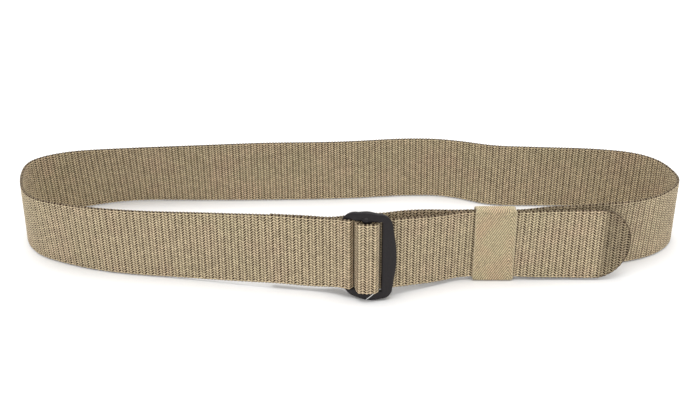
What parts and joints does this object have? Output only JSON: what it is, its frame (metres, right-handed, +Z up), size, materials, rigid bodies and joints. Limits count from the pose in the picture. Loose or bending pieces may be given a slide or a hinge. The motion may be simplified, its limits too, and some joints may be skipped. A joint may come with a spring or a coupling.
{
  "type": "web belt",
  "caption": "Ribbed tan web belt standing on its edge as a closed loop, threaded through a black three-bar slide and a twill keeper.",
  "frame": {"origin": "centre of the overall box in plan, on the surface that the belt stands on", "axes": "+X along the front of the belt to the free end, +Y from the front to the back of the loop, +Z up across the strap's width"},
  "size_m": [0.4364, 0.1452, 0.0558],
  "materials": {
    "webbing": "ribbed herringbone webbing, tan, matt",
    "black_plastic": "moulded black plastic with a soft sheen",
    "twill": "fine diagonal twill tape, light tan, matt"
  },
  "bodies": {
    "root": {"strap": "webbing", "buckle": "black_plastic", "keeper": "twill"}
  },
  "joints": []
}
